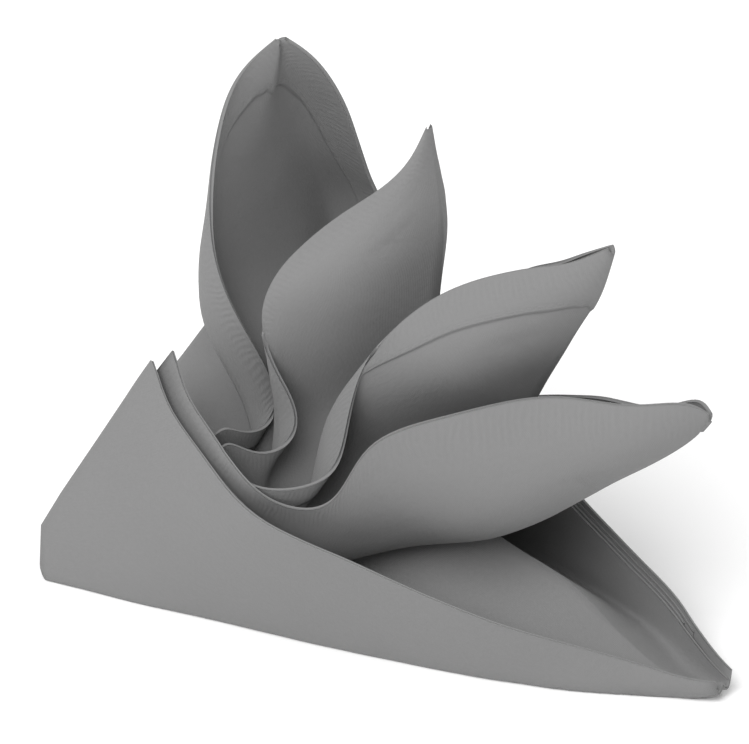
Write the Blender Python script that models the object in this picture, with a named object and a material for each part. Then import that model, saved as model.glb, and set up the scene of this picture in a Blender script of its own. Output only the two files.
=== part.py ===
"""A square cloth napkin in the bird-of-paradise fold, standing on its two long bottom folds.

The square is quartered, folded corner to corner and drawn in along both sides, so that its closed
corner is a boat with a pointed bow and its four loose corners are petals. The petals lie in the
boat, turn round its heel and stand up, one after another, along its ridge.

Frame: +X from the heel to the bow, +Z up. Tables are in millimetres, with the ridge at y = 0.
Every row of a table is one fan section: its share is 1 at the heel and 0 at the pointed end.
"""

from collections import namedtuple
from math import cos, pi, radians, sin, sqrt, tan

import bmesh
import bpy
import numpy as np

MM = 0.001
SIDE = 508.0  # the napkin laid flat
KEEL = SIDE / sqrt(8.0)  # heel to corner along a quarter's diagonal
LEG = KEEL * tan(radians(22.5))  # width of a slope, and of a flap, at the heel

PLY = 1.1  # thickness of each modelled layer
PITCH = 1.7  # from one layer's middle to the next one's
HEEL_ROUND = 3.0  # how far the turned folds stand out behind the heel
HEEL_STEPS = 3
LYING_SHARES = (1.0, 0.95, 0.9, 0.85)  # rows that all layers have in common, from the heel on
LAST_LYING = 0.8
LEAF_STEPS = 9  # rows from there to the point of a leaf
PETAL_STEPS = 16

FAR_DROP = 0.5  # the far bottom fold is rounder, so its corner is this much lower
BEND_REACH = 4.5  # how far from its corner a bend in the boat starts to round
WIDEST_REACH = 0.8  # the most of a leg that rounding takes, near the bow
LYING_STEP = 0.02  # share between the sections that a petal takes from the boat
OPENING = 0.35  # share over which a petal's bend opens from a fold to a full curve
TIP_SHARE = 0.12  # share near a petal's tip over which its far hem closes on the keel
HEEL_TRIM = 8.0  # how far the heel's lower corners are drawn in
HEEL_TRIM_REACH = 0.1  # and how far across the section that reaches

# Places across a half section: 0 edge, 1 bend, 2 ridge or keel.
NEAR_HALF = (0.0, 0.3, 0.6, 0.82, 0.94, 1.0, 1.06, 1.18, 1.45, 1.75)
ACROSS = NEAR_HALF + (2.0,) + tuple(4.0 - place for place in reversed(NEAR_HALF))
BENDS_AWAY = np.minimum(np.abs(np.array(ACROSS) - 1), np.abs(np.array(ACROSS) - 3))

CENTRE_X = 71.23
CENTRE_Y = -2.69
CLOTH_GREY = (0.235, 0.235, 0.235, 1.0)

Boat = namedtuple(
    "Boat", "share ridge_x ridge_z fold_x fold_y fold_z top_x near_y near_z far_y far_z"
)
BOAT = (
    #    share ridge_x  _z   fold_x   _y   _z   top_x near_y   _z far_y   _z
    Boat(0.00, 171.0, 5.0, 171.0, -1.5, 2.0, 171.0, -2.5, 7.0, 2.5, 7.0),
    Boat(0.06, 160.0, 1.6, 160.0, -6.0, -2.3, 160.8, -7.0, 7.5, 7.0, 8.5),
    Boat(0.13, 147.5, 1.2, 147.0, -12.5, -2.7, 149.4, -12.0, 10.2, 13.0, 11.0),
    Boat(0.20, 134.8, 6.0, 133.4, -19.6, -2.7, 140.0, -18.5, 13.7, 18.0, 14.0),
    Boat(0.30, 118.3, 15.5, 114.0, -26.0, -2.7, 124.0, -29.5, 19.5, 23.0, 19.5),
    Boat(0.45, 95.5, 22.6, 85.5, -33.0, -2.7, 101.0, -41.0, 27.8, 28.0, 29.0),
    Boat(0.60, 70.5, 31.5, 56.5, -38.5, -2.7, 77.0, -51.3, 37.5, 34.0, 40.0),
    Boat(0.75, 45.0, 40.5, 27.0, -43.8, -2.7, 52.0, -58.5, 47.0, 39.0, 51.0),
    Boat(0.86, 24.0, 47.2, 3.0, -48.6, -2.7, 33.5, -55.0, 57.5, 42.0, 59.0),
    Boat(0.93, 10.5, 50.3, -14.0, -51.8, -2.7, 18.5, -48.0, 63.0, 42.0, 64.0),
    Boat(1.00, -2.0, 53.5, -31.0, -54.5, -2.7, 4.0, -38.0, 67.0, 40.0, 68.0),
)

# A leaf of the boat: how deep it lies under the outer skin, and the share where its point ends.
Leaf = namedtuple("Leaf", "depth point")
LEAVES = (Leaf(0.5 * PLY, 0.02), Leaf(0.5 * PLY + PITCH, 0.10))

# A petal lies in the boat from the heel to the share `lies_to`, at its own depth. Its keel stays
# on the ridge a little further, in the rows that give no keel. Its far hem is the near one
# mirrored, `far_wide` times as far out and `far_high` times as high over the keel, and then moved
# towards the bow by `far_ahead`.
Petal = namedtuple("Petal", "depth lies_to point far_wide far_high far_ahead rows")
Row = namedtuple("Row", "share keel_x keel_z bend_x bend_y bend_z hem_x hem_y hem_z")
PETALS = (
    Petal(
        depth=0.5 * PLY + 2 * PITCH,
        lies_to=0.80,
        point=0.05,
        far_wide=0.7,
        far_high=0.6,
        far_ahead=0.0,
        rows=(
            Row(0.70, None, None, 41.0, -39.0, 10.5, 55.0, -49.0, 46.0),
            Row(0.58, None, None, 61.0, -34.0, 13.0, 68.0, -41.0, 47.0),
            Row(0.47, None, None, 79.0, -31.0, 20.0, 80.0, -40.0, 66.0),
            Row(0.36, 111.0, 39.0, 101.0, -32.0, 32.0, 101.0, -30.0, 80.0),
            Row(0.24, 128.0, 53.0, 124.0, -24.0, 54.0, 122.0, -17.0, 86.5),
            Row(0.12, 147.0, 68.0, 145.0, -12.0, 72.0, 144.0, -9.0, 86.5),
            Row(0.05, 160.0, 78.0, 159.0, -5.0, 80.5, 158.0, -5.0, 85.0),
        ),
    ),
    Petal(
        depth=0.5 * PLY + 3 * PITCH,
        lies_to=0.80,
        point=0.05,
        far_wide=0.7,
        far_high=0.7,
        far_ahead=0.0,
        rows=(
            Row(0.70, None, None, 42.0, -38.0, 14.5, 57.0, -46.0, 50.0),
            Row(0.62, None, None, 53.0, -34.0, 18.0, 64.5, -36.0, 53.0),
            Row(0.54, 78.0, 42.0, 60.0, -36.0, 32.0, 65.0, -31.0, 66.6),
            Row(0.445, 90.0, 52.0, 66.0, -40.0, 54.0, 70.6, -31.0, 86.5),
            Row(0.37, 99.5, 63.0, 78.0, -40.0, 72.0, 79.4, -28.0, 99.6),
            Row(0.27, 109.0, 79.5, 95.0, -30.0, 86.0, 90.5, -19.0, 109.8),
            Row(0.16, 118.5, 97.5, 113.0, -16.0, 102.0, 107.4, -10.0, 117.0),
            Row(0.05, 129.5, 117.5, 127.5, -6.0, 118.0, 125.5, -4.0, 122.0),
        ),
    ),
    Petal(
        depth=0.5 * PLY + 4 * PITCH,
        lies_to=0.85,
        point=0.05,
        far_wide=0.7,
        far_high=1.0,
        far_ahead=0.0,
        rows=(
            Row(0.76, None, None, 32.0, -37.0, 19.0, 45.0, -43.0, 54.0),
            Row(0.67, None, None, 43.0, -34.0, 22.0, 50.0, -33.0, 54.0),
            Row(0.58, 66.0, 56.0, 44.0, -36.0, 38.0, 48.0, -26.0, 61.0),
            Row(0.49, 70.0, 69.0, 43.0, -41.0, 60.0, 44.5, -28.0, 74.0),
            Row(0.40, 72.5, 82.0, 48.0, -42.0, 85.0, 38.5, -32.0, 90.0),
            Row(0.30, 73.6, 99.0, 56.0, -34.0, 102.0, 42.5, -29.0, 106.0),
            Row(0.20, 74.3, 116.0, 66.0, -20.0, 116.0, 52.5, -17.0, 120.0),
            Row(0.12, 72.5, 128.5, 69.0, -11.0, 127.0, 62.5, -10.5, 128.0),
            Row(0.05, 71.0, 140.0, 70.0, -5.0, 139.0, 68.5, -4.5, 140.0),
        ),
    ),
    Petal(
        depth=0.5 * PLY + 5 * PITCH,
        lies_to=0.88,
        point=0.05,
        far_wide=0.75,
        far_high=0.6,
        far_ahead=14.0,
        rows=(
            Row(0.80, None, None, 22.0, -34.0, 23.0, 31.0, -43.0, 61.0),
            Row(0.72, 46.0, 58.0, 28.0, -32.0, 27.0, 33.0, -36.0, 55.5),
            Row(0.64, 48.5, 67.0, 26.0, -31.0, 33.0, 33.3, -22.0, 52.0),
            Row(0.57, 43.0, 76.0, 18.0, -34.0, 46.0, 33.0, -19.0, 62.0),
            Row(0.48, 31.0, 87.0, 5.0, -41.0, 70.0, 29.0, -29.0, 83.5),
            Row(0.38, 21.0, 99.0, 8.0, -38.0, 95.0, 23.5, -33.0, 101.0),
            Row(0.27, 16.5, 113.0, 11.0, -27.0, 117.0, 18.5, -29.5, 120.0),
            Row(0.15, 17.5, 134.0, 13.0, -17.0, 139.0, 15.5, -20.0, 141.0),
            Row(0.05, 20.5, 152.5, 19.0, -6.0, 154.5, 17.5, -8.0, 156.0),
        ),
    ),
)


def through(knots, values, places):
    """A smooth curve through values, one row for each knot, read at the given places."""
    steps = np.diff(knots)
    slopes = np.diff(values, axis=0) / steps[:, None]
    tangents = np.empty_like(values)
    tangents[0] = slopes[0]
    tangents[-1] = slopes[-1]
    before, after = steps[:-1, None], steps[1:, None]
    tangents[1:-1] = (slopes[:-1] * after + slopes[1:] * before) / (before + after)
    start = np.clip(np.searchsorted(knots, places) - 1, 0, len(knots) - 2)
    step = steps[start][:, None]
    t = (places - knots[start])[:, None] / step
    return (
        (1 + 2 * t) * (1 - t) ** 2 * values[start]
        + t * (1 - t) ** 2 * step * tangents[start]
        + t * t * (3 - 2 * t) * values[start + 1]
        + t * t * (t - 1) * step * tangents[start + 1]
    )


def unit(vector):
    return vector / np.linalg.norm(vector)


def half_section(top, fold, ridge, depth):
    """Edge, bend and ridge of a layer that lies `depth` inside the skin top-fold-ridge."""
    flap = unit(top - fold)
    slope = unit(ridge - fold)
    turn = float(flap @ slope)
    width = sqrt(1.0 - turn * turn)
    from_flap = (slope - turn * flap) / width
    from_slope = (flap - turn * slope) / width
    edge = top + depth * from_flap
    bend = fold + depth / width * (flap + slope)
    rise = depth / from_slope[2]
    return edge, bend, ridge + np.array((0.0, 0.0, rise))


def boat_section(share, depth):
    """The five guide points of the boat's layer at this share and depth."""
    knots = np.array([row.share for row in BOAT])
    values = np.array([row[1:] for row in BOAT])
    at = Boat(share, *through(knots, values, np.array([share]))[0])
    ridge = np.array((at.ridge_x, 0.0, at.ridge_z))
    near_fold = np.array((at.fold_x, at.fold_y, at.fold_z))
    far_fold = near_fold * (1, -1, 1) - (0, 0, FAR_DROP)
    near_top = np.array((at.top_x, at.near_y, at.near_z))
    far_top = np.array((at.top_x, at.far_y, at.far_z))
    near_edge, near_bend, near_ridge = half_section(near_top, near_fold, ridge, depth)
    far_edge, far_bend, far_ridge = half_section(far_top, far_fold, ridge, depth)
    middle = 0.5 * (near_ridge + far_ridge)
    return np.array((near_edge, near_bend, middle, far_bend, far_edge))


def wing_section(row, petal):
    """The five guide points of a petal's free section."""
    if row.keel_x is None:
        keel = boat_section(row.share, petal.depth)[2]
    else:
        keel = np.array((row.keel_x, 0.0, row.keel_z))
    bend = np.array((row.bend_x, row.bend_y, row.bend_z))
    hem = np.array((row.hem_x, row.hem_y, row.hem_z))
    mirror = np.array((1.0, -petal.far_wide, petal.far_high))
    free = min(1.0, row.share / TIP_SHARE) * min(1.0, (petal.lies_to - row.share) / OPENING)
    ahead = np.array((free * petal.far_ahead, 0.0, 0.0))
    far_bend = bend * (1, -1, 1)
    far_hem = keel + (hem - keel) * mirror + ahead
    return np.array((hem, bend, keel, far_bend, far_hem))


def half_across(edge, bend, ridge, reach):
    """Points from an edge round a bend to the ridge. The bend is rounded over `reach` of its legs."""
    start = bend + reach * (edge - bend)
    end = bend + reach * (ridge - bend)
    points = []
    for place in NEAR_HALF:
        if place <= 1 - reach:
            points.append(edge + place * (bend - edge))
        elif place >= 1 + reach:
            points.append(bend + (place - 1) * (ridge - bend))
        else:
            t = 0.5 * (place - 1 + reach) / reach
            points.append((1 - t) ** 2 * start + 2 * t * (1 - t) * bend + t * t * end)
    return points


def across(section, reach):
    """Points right across a five-point section, near edge to far edge."""
    near = half_across(section[0], section[1], section[2], reach)
    far = half_across(section[4], section[3], section[2], reach)
    return np.array(near + [section[2]] + far[::-1])


def round_heel(grid):
    """Draws the heel's lower corners in, so that they are round and not pointed."""
    forward = grid[1] - grid[0]
    forward /= np.linalg.norm(forward, axis=1, keepdims=True)
    trim = HEEL_TRIM * np.exp(-((BENDS_AWAY / HEEL_TRIM_REACH) ** 2))
    grid[0] += trim[:, None] * forward
    return grid


def shares_to(point, steps):
    """The shares of a layer's rows, from the heel to its point."""
    return np.append(LYING_SHARES, np.linspace(LAST_LYING, point, steps + 1))


def leaf_grid(leaf):
    """The middle surface of a leaf of the boat, heel first."""
    rows = []
    for share in shares_to(leaf.point, LEAF_STEPS):
        reach = min(WIDEST_REACH, BEND_REACH / (LEG * share))
        rows.append(across(boat_section(share, leaf.depth), reach))
    return round_heel(np.array(rows))


def petal_grid(petal):
    """The middle surface of a petal, heel first."""
    lying = np.arange(petal.lies_to, 1.0 + LYING_STEP, LYING_STEP)
    knots = [row.share for row in reversed(petal.rows)] + list(lying)
    sections = [wing_section(row, petal) for row in reversed(petal.rows)]
    sections += [boat_section(share, petal.depth) for share in lying]
    values = np.array(sections).reshape(len(sections), -1)
    shares = shares_to(petal.point, PETAL_STEPS)
    read = through(np.array(knots), values, shares).reshape(-1, 5, 3)
    rows = []
    for share, section in zip(shares, read):
        free = min(1.0, max(0.0, (petal.lies_to - share) / OPENING))
        lying_reach = BEND_REACH / (LEG * share)
        rows.append(across(section, min(1.0, lying_reach + free)))
    return round_heel(np.array(rows))


def normals_of(grid):
    """Unit normals of a grid of points, pointing to the side that faces up at the heel's ridge."""
    along_boat = np.gradient(grid, axis=0)
    across_boat = np.gradient(grid, axis=1)
    normal = np.cross(along_boat, across_boat)
    return normal / np.linalg.norm(normal, axis=2, keepdims=True)


def skins(grid):
    """The lower and the upper skin of a layer, with what would lie under the table pressed flat."""
    half = 0.5 * PLY * normals_of(grid)
    lower, upper = grid - half, grid + half
    lower[:, :, 2] = np.maximum(lower[:, :, 2], 0.0)
    upper[:, :, 2] = np.maximum(upper[:, :, 2], 0.5 * PLY)
    return lower, upper


class Shell:
    """Collects the rows of points and the faces of one closed body."""

    def __init__(self):
        self.mesh = bmesh.new()

    def row(self, points):
        return [self.mesh.verts.new(self.place(point)) for point in points]

    @staticmethod
    def place(point):
        return (point[0] - CENTRE_X) * MM, (point[1] - CENTRE_Y) * MM, point[2] * MM

    def strip(self, first, second):
        for i in range(len(first) - 1):
            self.mesh.faces.new((first[i], first[i + 1], second[i + 1], second[i]))

    def skin(self, rows):
        for first, second in zip(rows, rows[1:]):
            self.strip(first, second)


def add_layer(shell, grid):
    """One layer from its heel to its point, open only along the heel. It returns its heel rows."""
    lower, upper = skins(grid)
    under = [shell.row(points) for points in lower]
    over = [shell.row(points) for points in upper]
    shell.skin(under)
    shell.skin(over[::-1])
    shell.strip(under[-1], over[-1])
    for side in (0, -1):
        edge_under = [row[side] for row in under]
        edge_over = [row[side] for row in over]
        pair = (edge_over, edge_under) if side == 0 else (edge_under, edge_over)
        shell.strip(*pair)
    return under[0], over[0]


def heel_rows(shell, outer, inner):
    """Rows of a rounded heel that lead from the outermost skin round to the innermost one."""
    back = outer[0] - outer[1]
    back /= np.linalg.norm(back, axis=1, keepdims=True)
    rows = []
    for step in range(1, HEEL_STEPS + 1):
        angle = pi * step / (HEEL_STEPS + 1)
        share = 0.5 - 0.5 * cos(angle)
        middle = outer[0] + share * (inner[0] - outer[0])
        rows.append(shell.row(middle + HEEL_ROUND * sin(angle) * back))
    return rows


def napkin_mesh():
    shell = Shell()
    grids = [leaf_grid(leaf) for leaf in LEAVES] + [petal_grid(petal) for petal in PETALS]
    heels = [add_layer(shell, grid) for grid in grids]
    for below, above in zip(heels, heels[1:]):
        shell.strip(below[1], above[0])
    outer = skins(grids[0])[0]
    inner = skins(grids[-1])[1]
    turn = [heels[0][0]] + heel_rows(shell, outer, inner) + [heels[-1][1]]
    shell.skin(turn[::-1])
    for side in (0, -1):
        stack = [vert[side] for pair in heels for vert in pair]
        loop = stack + [row[side] for row in reversed(turn[1:-1])]
        shell.mesh.faces.new(loop if side == 0 else loop[::-1])
    mesh = bpy.data.meshes.new("napkin")
    bmesh.ops.recalc_face_normals(shell.mesh, faces=shell.mesh.faces)
    shell.mesh.to_mesh(mesh)
    shell.mesh.free()
    mesh.shade_smooth()
    return mesh


def cloth_material():
    material = bpy.data.materials.new("grey_cotton")
    material.use_nodes = True
    shader = material.node_tree.nodes["Principled BSDF"]
    shader.inputs["Base Color"].default_value = CLOTH_GREY
    shader.inputs["Roughness"].default_value = 0.9
    shader.inputs["Metallic"].default_value = 0.0
    return material


def main():
    for thing in list(bpy.data.objects):
        bpy.data.objects.remove(thing, do_unlink=True)
    napkin = bpy.data.objects.new("napkin", napkin_mesh())
    napkin.data.materials.append(cloth_material())
    bpy.context.scene.collection.objects.link(napkin)


main()
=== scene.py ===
"""The look of a folded cloth napkin: one hemmed square in the bird-of-paradise fold.

The cloth is one closed piece of thin layers on the folds of the CAD solid. Lengths in the tables
are millimetres, x from the heel's ridge to the bow, y from the ridge, z from the table. Every row
is one fan section, and its share is 1 at the heel and 0 at the pointed end.
"""

from collections import namedtuple
from math import cos, pi, radians, sin, sqrt, tan

import bpy
import numpy as np
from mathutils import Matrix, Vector, noise


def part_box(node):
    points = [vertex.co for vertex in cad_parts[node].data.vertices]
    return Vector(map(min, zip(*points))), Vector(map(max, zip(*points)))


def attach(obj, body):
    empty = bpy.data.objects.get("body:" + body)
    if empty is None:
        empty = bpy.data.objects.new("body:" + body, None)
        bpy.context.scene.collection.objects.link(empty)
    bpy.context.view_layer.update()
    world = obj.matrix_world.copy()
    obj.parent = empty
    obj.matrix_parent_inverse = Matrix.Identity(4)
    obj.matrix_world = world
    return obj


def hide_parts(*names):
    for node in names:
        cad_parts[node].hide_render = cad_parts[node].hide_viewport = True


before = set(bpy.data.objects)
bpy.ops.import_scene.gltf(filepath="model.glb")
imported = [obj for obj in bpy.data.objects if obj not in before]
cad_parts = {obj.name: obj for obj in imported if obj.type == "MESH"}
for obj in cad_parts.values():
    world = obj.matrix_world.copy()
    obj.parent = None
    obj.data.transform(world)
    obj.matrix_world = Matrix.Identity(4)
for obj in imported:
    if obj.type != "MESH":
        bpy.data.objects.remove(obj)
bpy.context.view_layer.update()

MM = 0.001
SIDE = 508.0  # the napkin laid flat
KEEL = SIDE / sqrt(8.0)
LEG = KEEL * tan(radians(22.5))
LEFT_END = -25.34  # the heel's lowest corner in the tables, which is the CAD box's low x
RIDGE_Y = 2.69  # the ridge's place in the CAD frame

PLY = 0.6  # one thickness of cloth
HEM_PLY = 0.45  # what the turned hem adds on its own side
HEM_WIDE = 11.8
HEM_STEP = 0.6  # width over which the hem's thickness ends
HEEL_ROUND = 2.6
HEEL_STEPS = 5

BEND_REACH = 4.5
WIDEST_REACH = 0.8
LYING_STEP = 0.02
OPENING = 0.35
TIP_SHARE = 0.12
HEEL_TRIM = 10.0
HEEL_TRIM_REACH = 0.12
FAR_DROP = 0.5
SKIN = 0.3  # depth of the outermost layer
NEST = 2.4  # how far in front of the boat's heel a petal's lies
NEST_FROM = 0.7
NEST_DEPTH = 3.0  # how far under the skin a layer has to lie for that
NEST_SHARES = np.array((1.0, 1.0, 0.3, 1.0, 1.0))  # how much of it each guide point moves
LIFT = 0.35  # how much lower the solid's skin starts, since these layers are thinner

Boat = namedtuple(
    "Boat", "share ridge_x ridge_z fold_x fold_y fold_z top_x near_y near_z far_y far_z"
)
BOAT = (
    #    share ridge_x  _z   fold_x   _y   _z   top_x near_y   _z far_y   _z
    Boat(0.00, 171.0, 5.0, 171.0, -1.5, 2.0, 171.0, -2.5, 7.0, 2.5, 7.0),
    Boat(0.06, 160.0, 1.6, 160.0, -6.0, -2.3, 160.8, -7.0, 7.5, 7.0, 8.5),
    Boat(0.13, 147.5, 1.2, 147.0, -12.5, -2.7, 149.4, -12.0, 10.2, 13.0, 11.0),
    Boat(0.20, 134.8, 6.0, 133.4, -19.6, -2.7, 140.0, -18.5, 13.7, 18.0, 14.0),
    Boat(0.30, 118.3, 15.5, 114.0, -26.0, -2.7, 124.0, -29.5, 19.5, 23.0, 19.5),
    Boat(0.45, 95.5, 22.6, 85.5, -33.0, -2.7, 101.0, -41.0, 27.8, 28.0, 29.0),
    Boat(0.60, 70.5, 31.5, 56.5, -38.5, -2.7, 77.0, -51.3, 37.5, 34.0, 40.0),
    Boat(0.75, 45.0, 40.5, 27.0, -43.8, -2.7, 52.0, -58.5, 47.0, 39.0, 51.0),
    Boat(0.86, 24.0, 47.2, 3.0, -48.6, -2.7, 33.5, -55.0, 57.5, 42.0, 59.0),
    Boat(0.93, 10.5, 49.8, -14.5, -51.8, -2.7, 18.5, -48.0, 63.0, 42.0, 64.0),
    Boat(1.00, -3.0, 52.0, -32.5, -55.0, -2.7, 5.0, -38.0, 69.5, 40.0, 69.0),
)

# A leaf of the boat: its depth under the outer skin, how far its free edge stands over the boat's,
# how much lower that edge is at the heel, and the share where its point ends.
Leaf = namedtuple("Leaf", "name depth rise sink point")
LEAVES = (
    Leaf("outermost", 0.3, 0.3, 0.0, 0.02),
    Leaf("outer", 1.0, -1.2, 1.0, 0.13),
    Leaf("inner", 1.7, -2.0, 1.0, 0.16),
    Leaf("innermost", 2.4, -2.6, 1.0, 0.02),
)

# A petal lies in the boat, at its own depth, from the heel to the share lies_to. Its far hem is the
# near one mirrored over the keel, unless a row gives it as `far`.
Petal = namedtuple(
    "Petal", "name depth rise sink lies_to point far_wide far_high far_ahead turned_over rows"
)
Row = namedtuple(
    "Row", "share keel_x keel_z bend_x bend_y bend_z hem_x hem_y hem_z far", defaults=(None,)
)
PETALS = (
    Petal(
        "fourth", 3.5, 4.2, 0.0, 0.80, 0.01, 0.7, 0.6, 0.0, True,
        (
            Row(0.70, None, None, 41.0, -39.0, 10.5, 55.0, -49.0, 46.0),
            Row(0.58, None, None, 61.0, -34.0, 13.0, 68.0, -41.0, 47.0),
            Row(0.47, None, None, 79.0, -31.0, 22.0, 79.0, -40.0, 69.0),
            Row(0.36, 111.0, 39.0, 101.0, -32.0, 32.0, 101.0, -30.0, 80.0),
            Row(0.24, 128.0, 53.0, 124.0, -24.0, 54.0, 122.0, -17.0, 86.5),
            Row(0.12, 147.0, 68.0, 145.0, -12.0, 72.0, 144.0, -9.0, 86.5),
            Row(0.05, 158.8, 78.6, 158.9, -3.0, 83.0, 159.3, -4.0, 90.2, (158.6, 2.0, 89.0)),
            Row(0.01, 162.4, 84.0, 162.5, -0.8, 84.6, 162.6, -0.9, 86.0, (162.5, 0.6, 85.8)),
        ),
    ),
    Petal(
        "third", 4.7, 1.5, 6.0, 0.80, 0.01, 0.7, 0.7, 0.0, False,
        (
            Row(0.70, None, None, 42.0, -38.0, 14.5, 57.0, -46.0, 50.0),
            Row(0.62, None, None, 51.0, -42.0, 30.0, 64.5, -36.0, 53.0),
            Row(0.54, 78.0, 42.0, 38.6, -30.0, 40.2, 65.0, -31.0, 66.6),
            Row(0.445, 90.0, 52.0, 43.6, -32.0, 61.6, 70.6, -31.0, 86.5),
            Row(0.37, 99.5, 63.0, 84.0, -31.0, 80.0, 79.4, -28.0, 99.6),
            Row(0.27, 109.0, 79.5, 96.0, -31.0, 93.0, 90.5, -19.0, 109.8),
            Row(0.16, 118.5, 97.5, 112.0, -18.0, 106.0, 107.4, -10.0, 117.0),
            Row(0.05, 127.8, 115.6, 126.2, -4.0, 117.5, 123.0, -4.0, 122.3, (122.6, 2.5, 122.0)),
            Row(0.01, 129.8, 124.5, 129.7, -0.7, 125.2, 129.3, -0.8, 126.4, (129.2, 0.6, 126.3)),
        ),
    ),
    Petal(
        "second", 5.9, -1.0, 10.0, 0.85, 0.01, 0.7, 1.0, 0.0, True,
        (
            Row(0.76, None, None, 30.0, -38.0, 22.0, 35.0, -46.0, 59.0),
            Row(0.67, None, None, 40.0, -34.0, 22.0, 41.8, -38.0, 51.4),
            Row(0.62, None, None, 34.0, -39.0, 32.0, 46.2, -31.0, 53.0),
            Row(0.57, 66.0, 57.0, 22.0, -28.0, 35.7, 46.6, -26.0, 59.5),
            Row(0.49, 70.0, 69.0, 24.0, -22.0, 51.0, 39.6, -29.0, 74.0),
            Row(0.40, 72.5, 82.0, 46.0, -29.0, 84.0, 36.7, -32.0, 90.4),
            Row(0.30, 73.6, 99.0, 57.0, -33.0, 104.0, 41.9, -29.0, 106.2),
            Row(0.20, 74.3, 116.0, 66.0, -21.0, 117.0, 52.5, -17.0, 120.0),
            Row(0.12, 72.5, 128.5, 69.0, -11.0, 127.5, 62.5, -10.0, 128.5),
            Row(0.05, 71.0, 137.0, 70.0, -4.5, 136.5, 68.2, -4.0, 137.5),
            Row(0.01, 70.4, 144.0, 70.2, -1.2, 144.0, 69.8, -1.0, 145.0),
        ),
    ),
    Petal(
        "first", 7.1, -3.0, 12.0, 0.88, 0.01, 0.75, 0.6, 14.0, False,
        (
            Row(0.80, None, None, 22.0, -34.0, 23.0, 31.0, -43.0, 61.0),
            Row(0.72, 46.0, 58.0, 28.0, -32.0, 27.0, 33.0, -36.0, 55.5),
            Row(0.64, 48.5, 67.0, 26.0, -31.0, 33.0, 33.3, -22.0, 52.0),
            Row(0.57, 43.0, 76.0, 18.0, -34.0, 46.0, 33.0, -19.0, 62.0),
            Row(0.48, 31.0, 87.0, 5.0, -41.0, 70.0, 29.0, -29.0, 83.5),
            Row(0.38, 21.0, 99.0, 8.0, -38.0, 95.0, 23.5, -33.0, 101.0),
            Row(0.27, 16.5, 111.0, 11.0, -25.0, 117.0, 18.5, -29.5, 120.0, (35.0, 21.0, 111.0)),
            Row(0.15, 16.5, 131.5, 12.5, -17.0, 137.0, 15.5, -20.0, 141.0, (34.0, 12.3, 134.8)),
            Row(0.10, 18.0, 140.5, 14.5, -10.5, 144.0, 14.2, -12.0, 147.5, (31.5, 8.2, 145.0)),
            Row(0.05, 19.6, 149.5, 16.6, -4.0, 150.5, 15.8, -4.2, 152.2, (27.2, 4.0, 153.0)),
            Row(0.01, 20.6, 156.0, 20.0, -0.7, 156.2, 19.8, -0.8, 156.6, (21.8, 0.8, 156.8)),
        ),
    ),
)

# Distances from the edge across the hem, then places over the rest: 1 is the bend, 2 the ridge.
HEM_PLACES = np.array((0.0, 0.4, 1.5, 3.5, 6.0, 8.5, 10.4, 11.2, 11.8, 12.4, 13.2))
LEAST_HEM_ROOM = 17.0
FLAT_PLACES = 5
BEND_PLACES = (0.925, 0.95, 0.97, 0.985, 1.0, 1.015, 1.03, 1.05, 1.075)
SLOPE_PLACES = 9
SMOOTHING = 14
KEEL_REACH = 6.0  # in columns of points
KEEL_SMOOTHING = 60

LYING_SHARES = np.linspace(1.0, 0.8, 12)
LEAF_ROWS = 40
PETAL_ROWS = 54
TIP_ROWS = 16
TIP_FROM = 0.15
BOW_FADE = (0.2, 0.25)  # how close the leaves lie at the bow, and the share where they part
UNEVEN = 0.5  # how far the cloth strays from its even shape
PLAIN, SMOOTH_HEM, TURNED_HEM = 0, 1, 2

GREY = 0.184
THREAD = 0.00052  # spacing of the threads, in metres
RIB = 0.00185  # spacing of the puckers that the hem's stitching draws into the cloth
STITCH = 0.0028
WORLD_LIGHT = 0.68
FLOOR_REACH = 6.0


def through(knots, values, places):
    """A smooth curve through values, one row for each knot, read at the given places."""
    steps = np.diff(knots)
    slopes = np.diff(values, axis=0) / steps[:, None]
    tangents = np.empty_like(values)
    tangents[0] = slopes[0]
    tangents[-1] = slopes[-1]
    before, after = steps[:-1, None], steps[1:, None]
    tangents[1:-1] = (slopes[:-1] * after + slopes[1:] * before) / (before + after)
    start = np.clip(np.searchsorted(knots, places) - 1, 0, len(knots) - 2)
    step = steps[start][:, None]
    t = (places - knots[start])[:, None] / step
    return (
        (1 + 2 * t) * (1 - t) ** 2 * values[start]
        + t * (1 - t) ** 2 * step * tangents[start]
        + t * t * (3 - 2 * t) * values[start + 1]
        + t * t * (t - 1) * step * tangents[start + 1]
    )


def unit(vector):
    return vector / np.linalg.norm(vector)


def half_section(top, fold, ridge, depth, rise):
    """Edge, bend and ridge of a layer that lies `depth` inside the skin top-fold-ridge."""
    flap = unit(top - fold)
    slope = unit(ridge - fold)
    turn = float(flap @ slope)
    width = sqrt(1.0 - turn * turn)
    from_flap = (slope - turn * flap) / width
    from_slope = (flap - turn * slope) / width
    edge = top + depth * from_flap + rise * flap
    bend = fold + depth / width * (flap + slope)
    return edge, bend, ridge + np.array((0.0, 0.0, depth / from_slope[2]))


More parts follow.
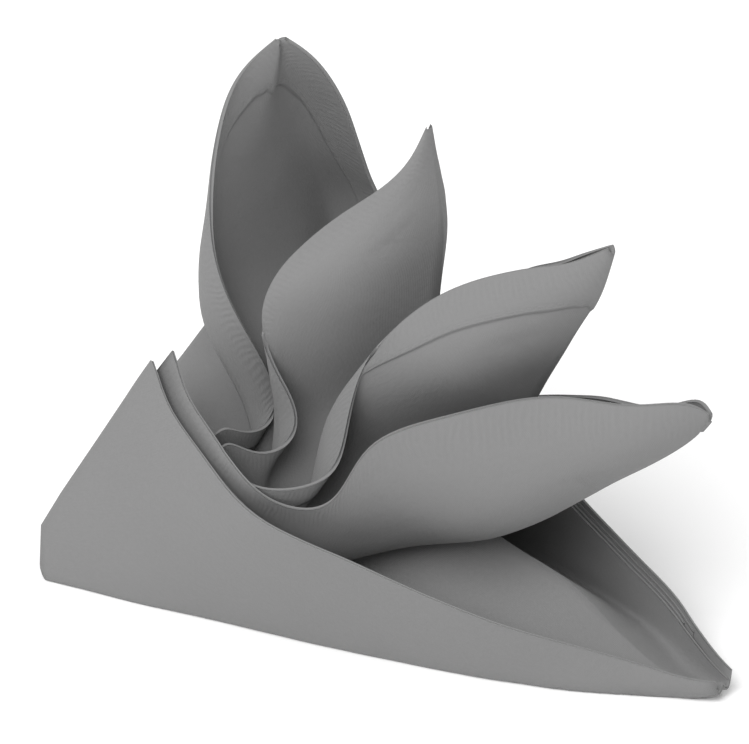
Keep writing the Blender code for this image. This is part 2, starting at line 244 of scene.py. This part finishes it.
def boat_section(share, depth, rise, sink):
    """The five guide points of the boat's layer at this share and depth. `sink` is for the heel."""
    knots = np.array([row.share for row in BOAT])
    values = np.array([row[1:] for row in BOAT])
    at = Boat(share, *through(knots, values, np.array([share]))[0])
    lift = np.array((0.0, 0.0, LIFT))
    ridge = np.array((at.ridge_x, 0.0, at.ridge_z))
    near_fold = np.array((at.fold_x, at.fold_y, at.fold_z)) + lift
    far_fold = near_fold * (1, -1, 1) - (0, 0, FAR_DROP)
    near_top = np.array((at.top_x, at.near_y, at.near_z))
    far_top = np.array((at.top_x, at.far_y, at.far_z))
    t = np.clip((share - NEST_FROM) / (1.0 - NEST_FROM), 0.0, 1.0)
    nested = t * t * (3 - 2 * t)
    near = half_section(near_top, near_fold, ridge, depth, rise - nested * sink)
    far = half_section(far_top, far_fold, ridge, depth, rise - nested * sink)
    section = np.array((near[0], near[1], 0.5 * (near[2] + far[2]), far[1], far[0]))
    section[:, 0] += NEST * min(1.0, (depth - SKIN) / NEST_DEPTH) * nested * NEST_SHARES
    return section


def wing_section(row, petal):
    """The five guide points of a petal's free section."""
    if row.keel_x is None:
        keel = boat_section(row.share, petal.depth, 0.0, 0.0)[2]
    else:
        keel = np.array((row.keel_x, 0.0, row.keel_z))
    bend = np.array((row.bend_x, row.bend_y, row.bend_z))
    hem = np.array((row.hem_x, row.hem_y, row.hem_z))
    mirror = np.array((1.0, -petal.far_wide, petal.far_high))
    free = min(1.0, row.share / TIP_SHARE) * min(1.0, (petal.lies_to - row.share) / OPENING)
    ahead = np.array((free * petal.far_ahead, 0.0, 0.0))
    far = row.far or keel + (hem - keel) * mirror + ahead
    return np.array((hem, bend, keel, bend * (1, -1, 1), far))


def places_at(share):
    """Places across a half section, with a line of points along the hem's inner edge."""
    leg = LEG * share
    hem = HEM_PLACES * min(1.0, 2.0 * leg / LEAST_HEM_ROOM) / leg
    count = FLAT_PLACES + len(BEND_PLACES) + SLOPE_PLACES
    if hem[-1] > 0.8:
        return np.append(hem, np.linspace(hem[-1], 2.0, count + 1)[1:])
    flat = np.linspace(hem[-1], BEND_PLACES[0], FLAT_PLACES + 1)[1:-1]
    slope = np.linspace(BEND_PLACES[-1], 2.0, SLOPE_PLACES + 2)[1:]
    return np.concatenate((hem, flat, BEND_PLACES, slope))


def half_across(edge, bend, ridge, reach, places):
    """Points from an edge round a bend to the ridge. The bend is rounded over `reach` of its legs."""
    place = places[:, None]
    start = bend + reach * (edge - bend)
    end = bend + reach * (ridge - bend)
    t = 0.5 * (place - 1 + reach) / reach
    curve = (1 - t) ** 2 * start + 2 * t * (1 - t) * bend + t * t * end
    flat = edge + place * (bend - edge)
    slope = bend + (place - 1) * (ridge - bend)
    return np.where(place <= 1 - reach, flat, np.where(place >= 1 + reach, slope, curve))


def across(section, reach, places):
    near = half_across(section[0], section[1], section[2], reach, places)
    far = half_across(section[4], section[3], section[2], reach, places)
    return np.concatenate((near, far[-2::-1]))


def flat_places(share, places, point):
    """Where a half section's points lie on the flat cloth, from the two hems of their corner."""
    along = KEEL * max(0.0, share - point) / (1.0 - point)
    down = LEG * share
    past = np.maximum(places - 1.0, 0.0) * down / sqrt(2.0)
    half = np.stack((along - past, np.minimum(places, 1.0) * down + past), axis=1)
    return np.concatenate((half, half[-2::-1]))


def rows_of(shares, sections, reaches, point):
    grid, flat = [], []
    for share, section, reach in zip(shares, sections, reaches):
        places = places_at(share)
        grid.append(across(section, reach, places))
        flat.append(flat_places(share, places, point))
    return np.array(grid), np.array(flat)


def round_heel(grid, places):
    """Draws the heel's lower corners in, so that they are round and not pointed."""
    forward = grid[1] - grid[0]
    forward /= np.linalg.norm(forward, axis=1, keepdims=True)
    away = np.abs(np.concatenate((places, places[-2::-1])) - 1)
    trim = HEEL_TRIM * np.exp(-((away / HEEL_TRIM_REACH) ** 2))
    reach = np.linspace(1.0, 0.0, 4)[:3]
    for k, left in enumerate(reach):
        grid[k] += (left * trim)[:, None] * forward
    return grid


def leaf_grid(leaf):
    shares = np.append(LYING_SHARES, np.linspace(0.8, leaf.point, LEAF_ROWS)[1:])
    depths = SKIN + (leaf.depth - SKIN) * np.minimum(1.0, BOW_FADE[0] + shares / BOW_FADE[1])
    sections = [
        boat_section(share, depth, leaf.rise, leaf.sink) for share, depth in zip(shares, depths)
    ]
    reaches = [min(WIDEST_REACH, BEND_REACH / (LEG * share)) for share in shares]
    grid, flat = rows_of(shares, sections, reaches, leaf.point)
    return round_heel(grid, places_at(1.0)), flat, shares


def petal_grid(petal):
    lying = np.arange(petal.lies_to, 1.0 + LYING_STEP, LYING_STEP)
    knots = [row.share for row in reversed(petal.rows)] + list(lying)
    guides = [wing_section(row, petal) for row in reversed(petal.rows)]
    guides += [boat_section(share, petal.depth, petal.rise, petal.sink) for share in lying]
    values = np.array(guides).reshape(len(guides), -1)
    tip = np.linspace(TIP_FROM, petal.point, TIP_ROWS)[1:]
    shares = np.concatenate((LYING_SHARES, np.linspace(0.8, TIP_FROM, PETAL_ROWS)[1:], tip))
    sections = through(np.array(knots), values, shares).reshape(-1, 5, 3)
    free = np.clip((petal.lies_to - shares) / OPENING, 0.0, 1.0)
    reaches = np.minimum(1.0, BEND_REACH / (LEG * shares) + free)
    grid, flat = rows_of(shares, sections, reaches, petal.point)
    grid = round_heel(grid, places_at(1.0))
    loose = (shares < petal.lies_to + 0.03)[1:-1, None, None]
    for _ in range(SMOOTHING):
        middle = 0.25 * grid[:-2] + 0.5 * grid[1:-1] + 0.25 * grid[2:]
        grid[1:-1] = np.where(loose, middle, grid[1:-1])
    if petal.name == "first":
        grid = soften_keel(grid, np.clip((petal.lies_to - 0.1 - shares) / 0.2, 0.0, 1.0))
    return grid, flat, shares


def soften_keel(grid, amount):
    """Rounds a keel that was never creased through, as much as `amount` says row by row."""
    middle = grid.shape[1] // 2
    near = np.exp(-(((np.arange(grid.shape[1]) - middle) / KEEL_REACH) ** 2))
    weight = (amount[:, None] * near)[:, 1:-1, None]
    for _ in range(KEEL_SMOOTHING):
        between = 0.5 * grid[:, :-2] + 0.5 * grid[:, 2:]
        grid[:, 1:-1] += 0.5 * weight * (between - grid[:, 1:-1])
    return grid


def uneven(grid, normals, strength):
    """Soft unevenness, the same for layers that lie together because it goes by place."""
    points = grid.reshape(-1, 3)
    move = np.array([
        noise.noise(Vector(p) / 34.0) + 0.4 * noise.noise(Vector(p) / 14.0 + Vector((9, 4, 2)))
        for p in points
    ])
    return grid + strength * move.reshape(grid.shape[:2])[..., None] * normals


def normals_of(grid):
    along_boat = np.gradient(grid, axis=0)
    across_boat = np.gradient(grid, axis=1)
    normal = np.cross(along_boat, across_boat)
    return normal / np.maximum(np.linalg.norm(normal, axis=2, keepdims=True), 1e-9)


class Cloth:
    """Collects points, their flat places, and faces with a material for each side."""

    def __init__(self):
        self.points, self.flat, self.faces, self.slots = [], [], [], []

    def row(self, points, flat):
        first = len(self.points)
        self.points.extend(points)
        self.flat.extend(flat)
        return list(range(first, first + len(points)))

    def strip(self, first, second, slot):
        for i in range(len(first) - 1):
            self.faces.append((first[i], first[i + 1], second[i + 1], second[i]))
            self.slots.append(slot)

    def skin(self, rows, slot):
        for first, second in zip(rows, rows[1:]):
            self.strip(first, second, slot)


def hem_profile(flat):
    """How much of the hem's thickness there is at these flat places."""
    inside = np.minimum(flat[..., 0], flat[..., 1])
    t = np.clip((HEM_WIDE + 0.5 * HEM_STEP - inside) / HEM_STEP, 0.0, 1.0)
    return t * t * (3 - 2 * t)


def add_layer(cloth, grid, flat, hem_under, hem_over, slots):
    """One layer, open only along the heel. hem_under and hem_over are the hem's extra thickness."""
    grid = uneven(grid, normals_of(grid), UNEVEN)
    normals = normals_of(grid)
    under = grid - (0.5 * PLY + hem_under)[..., None] * normals
    over = grid + (0.5 * PLY + hem_over)[..., None] * normals
    under[:, :, 2] = np.maximum(under[:, :, 2], 0.02)
    over[:, :, 2] = np.maximum(over[:, :, 2], 0.5 * PLY)
    under_rows = [cloth.row(p, f) for p, f in zip(under, flat)]
    over_rows = [cloth.row(p, f) for p, f in zip(over, flat)]
    cloth.skin(under_rows, slots[0])
    cloth.skin(over_rows[::-1], slots[1])
    cloth.strip(under_rows[-1], over_rows[-1], PLAIN)
    for side in (0, -1):
        edge_under = [row[side] for row in under_rows]
        edge_over = [row[side] for row in over_rows]
        pair = (edge_over, edge_under) if side == 0 else (edge_under, edge_over)
        cloth.strip(*pair, PLAIN)
    return under_rows[0], over_rows[0], under[:2], over[:2]


def make_cloth():
    cloth = Cloth()
    heels = []
    for leaf in LEAVES:
        grid, flat, shares = leaf_grid(leaf)
        none = np.zeros(grid.shape[:2])
        heels.append(add_layer(cloth, grid, flat, none, none, (PLAIN, PLAIN)))
    for petal in PETALS:
        grid, flat, shares = petal_grid(petal)
        free = np.clip((petal.lies_to - shares) / 0.2, 0.0, 1.0)[:, None]
        hem = HEM_PLY * hem_profile(flat) * (0.1 + 0.9 * free)
        sides = (0.0 * hem, hem) if petal.turned_over else (hem, 0.0 * hem)
        slots = (SMOOTH_HEM, TURNED_HEM) if petal.turned_over else (TURNED_HEM, SMOOTH_HEM)
        heels.append(add_layer(cloth, grid, flat, *sides, slots))
    for below, above in zip(heels, heels[1:]):
        cloth.strip(below[1], above[0], PLAIN)
    outer, inner = heels[0][2], heels[-1][3]
    back = outer[0] - outer[1]
    back /= np.linalg.norm(back, axis=1, keepdims=True)
    turn = [heels[0][0]]
    flat_heel = [cloth.flat[i] for i in heels[0][0]]
    for step in range(1, HEEL_STEPS + 1):
        angle = pi * step / (HEEL_STEPS + 1)
        middle = outer[0] + (0.5 - 0.5 * cos(angle)) * (inner[0] - outer[0])
        turn.append(cloth.row(middle + HEEL_ROUND * sin(angle) * back, flat_heel))
    turn.append(heels[-1][1])
    cloth.skin(turn[::-1], PLAIN)
    for side in (0, -1):
        loop = [rows[side] for heel in heels for rows in heel[:2]]
        loop += [row[side] for row in reversed(turn[1:-1])]
        cloth.faces.append(tuple(loop if side == 0 else loop[::-1]))
        cloth.slots.append(PLAIN)
    return cloth


def as_object(cloth, name, corner):
    points = (np.array(cloth.points) + corner) * MM
    mesh = bpy.data.meshes.new(name)
    mesh.from_pydata(points.tolist(), [], cloth.faces)
    mesh.polygons.foreach_set("material_index", cloth.slots)
    layer = mesh.uv_layers.new(name="flat")
    corners = np.empty(len(mesh.loops), np.int32)
    mesh.loops.foreach_get("vertex_index", corners)
    layer.data.foreach_set("uv", (np.array(cloth.flat)[corners] * MM).ravel())
    mesh.polygons.foreach_set("use_smooth", [True] * len(mesh.polygons))
    mesh.update()
    obj = bpy.data.objects.new(name, mesh)
    bpy.context.scene.collection.objects.link(obj)
    return obj


class Nodes:
    """Short calls for building a node tree."""

    def __init__(self, material):
        self.tree = material.node_tree
        self.shader = self.tree.nodes["Principled BSDF"]

    def new(self, kind, **settings):
        node = self.tree.nodes.new(kind)
        for key, value in settings.items():
            setattr(node, key, value)
        return node

    def link(self, source, socket):
        self.tree.links.new(source, socket)

    def math(self, operation, *inputs):
        node = self.new("ShaderNodeMath", operation=operation)
        for i, value in enumerate(inputs):
            if isinstance(value, (int, float)):
                node.inputs[i].default_value = value
            else:
                self.link(value, node.inputs[i])
        return node.outputs[0]

    def ramp(self, value, low, high, to_low, to_high, smooth=True):
        node = self.new("ShaderNodeMapRange")
        node.interpolation_type = "SMOOTHSTEP" if smooth else "LINEAR"
        self.link(value, node.inputs["Value"])
        for name, number in (
            ("From Min", low), ("From Max", high), ("To Min", to_low), ("To Max", to_high)
        ):
            node.inputs[name].default_value = number
        return node.outputs["Result"]

    def noise(self, vector, scale, detail=2.0):
        node = self.new("ShaderNodeTexNoise")
        node.inputs["Scale"].default_value = scale
        node.inputs["Detail"].default_value = detail
        self.link(vector, node.inputs["Vector"])
        return node.outputs["Fac"]


def cloth_material(name, hem):
    """Grey plain-woven cloth. hem is None, "smooth" or "turned": the side of the hem it shows. The
    turned side has a painted shadow line at the hem's inner edge.
    """
    material = bpy.data.materials.new(name)
    material.use_nodes = True
    n = Nodes(material)
    flat = n.new("ShaderNodeUVMap", uv_map="flat").outputs["UV"]
    split = n.new("ShaderNodeSeparateXYZ")
    n.link(flat, split.inputs[0])
    u, v = split.outputs["X"], split.outputs["Y"]
    thread_u = n.math("SINE", n.math("MULTIPLY", u, 2 * pi / THREAD))
    thread_v = n.math("SINE", n.math("MULTIPLY", v, 2 * pi / THREAD))
    weave = n.math("MULTIPLY", thread_u, thread_v)
    slub = n.noise(flat, 900.0, 3.0)
    cloud = n.noise(flat, 45.0, 3.0)
    height = n.math("MULTIPLY", weave, 0.02)
    height = n.math("ADD", height, n.math("MULTIPLY", slub, 0.10))
    height = n.math("ADD", height, n.math("MULTIPLY", cloud, 0.35))
    shade = n.math("ADD", n.math("MULTIPLY", weave, 0.03), 0.93)
    shade = n.math("ADD", shade, n.math("MULTIPLY", slub, 0.09))
    shade = n.math("ADD", shade, n.math("MULTIPLY", cloud, 0.05))
    if hem:
        edge = n.math("MINIMUM", u, v)
        wander = n.math("MULTIPLY", n.noise(flat, 90.0, 2.0), 14.0)
        wave = n.math("SINE", n.math("ADD", n.math("MULTIPLY", u, 2 * pi / RIB), wander))
        fade = n.ramp(v, 0.004, 0.012, 1.0, 0.0)
        start = n.ramp(v, 0.0003, 0.002, 0.25, 1.0)
        rib = n.math("MULTIPLY", n.math("MULTIPLY", wave, fade), start)
        rib_high = 0.04 if hem == "smooth" else 0.03
        height = n.math("ADD", height, n.math("MULTIPLY", rib, rib_high))
        # Painted shade: the colour lightens and darkens a little with the puckers' ripple, as light
        # falls on them.
        shade = n.math("ADD", shade, n.math("MULTIPLY", rib, 0.012))
        if hem == "turned":
            line = n.math("ABSOLUTE", n.math("SUBTRACT", edge, 0.0104))
            groove = n.ramp(line, 0.0, 0.0009, 1.0, 0.0)
            height = n.math("SUBTRACT", height, n.math("MULTIPLY", groove, 0.08))
            step = n.math("FRACT", n.math("MULTIPLY", n.math("MAXIMUM", u, v), 1 / STITCH))
            dash = n.ramp(n.math("ABSOLUTE", n.math("SUBTRACT", step, 0.5)), 0.28, 0.42, 1.0, 0.0)
            thread = n.math("MULTIPLY", n.ramp(line, 0.0001, 0.00045, 1.0, 0.0), dash)
            height = n.math("ADD", height, n.math("MULTIPLY", thread, 0.08))
            # Painted shadow: the colour is darkened in a thin line along the hem's inner edge, where
            # the step casts shade.
            hem_foot_shadow_distance = n.math("ABSOLUTE", n.math("SUBTRACT", edge, 0.0121))
            shade = n.math("SUBTRACT", shade, n.ramp(hem_foot_shadow_distance, 0.0, 0.0006, 0.24, 0.0))
            inner = n.ramp(edge, 0.0112, 0.0121, 0.0, 1.0)
            height = n.math("SUBTRACT", height, n.math("MULTIPLY", inner, 0.25))
    bump = n.new("ShaderNodeBump")
    bump.inputs["Strength"].default_value = 1.0
    bump.inputs["Distance"].default_value = MM
    n.link(height, bump.inputs["Height"])
    n.link(bump.outputs["Normal"], n.shader.inputs["Normal"])
    colour = n.new("ShaderNodeCombineColor")
    for socket in colour.inputs[:3]:
        n.link(n.math("MULTIPLY", shade, GREY), socket)
    n.link(colour.outputs[0], n.shader.inputs["Base Color"])
    n.shader.inputs["Roughness"].default_value = 0.88
    n.shader.inputs["Specular IOR Level"].default_value = 0.25
    n.shader.inputs["Sheen Weight"].default_value = 0.12
    n.shader.inputs["Sheen Roughness"].default_value = 0.5
    return material


low, high = (Vector(corner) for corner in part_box("napkin"))
corner = np.array((low.x / MM - LEFT_END, RIDGE_Y, 0.0))
napkin = as_object(make_cloth(), "napkin_cloth", corner)
for name, hem in (
    ("cloth_plain", None),
    ("cloth_hem_smooth", "smooth"),
    ("cloth_hem_turned", "turned"),
):
    napkin.data.materials.append(cloth_material(name, hem))
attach(napkin, "root")
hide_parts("napkin")


def make_floor():
    mesh = bpy.data.meshes.new("floor")
    far = FLOOR_REACH
    corners = [(-far, -far, 0), (far, -far, 0), (far, far, 0), (-far, far, 0)]
    mesh.from_pydata(corners, [], [(0, 1, 2, 3)])
    floor = bpy.data.objects.new("floor", mesh)
    bpy.context.scene.collection.objects.link(floor)
    material = bpy.data.materials.new("floor_white")
    material.use_nodes = True
    shader = material.node_tree.nodes["Principled BSDF"]
    shader.inputs["Base Color"].default_value = (1.0, 1.0, 1.0, 1.0)
    shader.inputs["Roughness"].default_value = 0.9
    shader.inputs["Specular IOR Level"].default_value = 0.1
    mesh.materials.append(material)
    return floor


def make_world():
    world = bpy.data.worlds.new("studio")
    world.use_nodes = True
    background = world.node_tree.nodes["Background"]
    background.inputs["Color"].default_value = (1.0, 1.0, 1.0, 1.0)
    background.inputs["Strength"].default_value = WORLD_LIGHT
    bpy.context.scene.world = world


def make_light(name, azimuth, elevation, distance, size, energy):
    data = bpy.data.lights.new(name, "AREA")
    data.size = size
    data.energy = energy
    lamp = bpy.data.objects.new(name, data)
    bpy.context.scene.collection.objects.link(lamp)
    a, e = radians(azimuth), radians(elevation)
    away = Vector((sin(a) * cos(e), -cos(a) * cos(e), sin(e)))
    lamp.location = away * distance + Vector((0, 0, 0.06))
    lamp.rotation_euler = away.to_track_quat("Z", "Y").to_euler()


make_world()
make_light("key", 12.0, 48.0, 4.0, 3.0, 155.0)
make_floor()

AZIMUTH, ELEVATION, DISTANCE = radians(35.5), radians(28.0), 5.0
TARGET = Vector((-0.01167, -0.00793, 0.0715))
camera_data = bpy.data.cameras.new("camera")
camera_data.sensor_width = 36.0
camera_data.lens = 889.19
camera_data.clip_start = 0.05
camera = bpy.data.objects.new("camera", camera_data)
bpy.context.scene.collection.objects.link(camera)
side = Vector((sin(AZIMUTH) * cos(ELEVATION), -cos(AZIMUTH) * cos(ELEVATION), sin(ELEVATION)))
camera.location = TARGET + DISTANCE * side
camera.rotation_euler = side.to_track_quat("Z", "Y").to_euler()
bpy.context.scene.camera = camera
bpy.context.scene.view_settings.view_transform = "Standard"
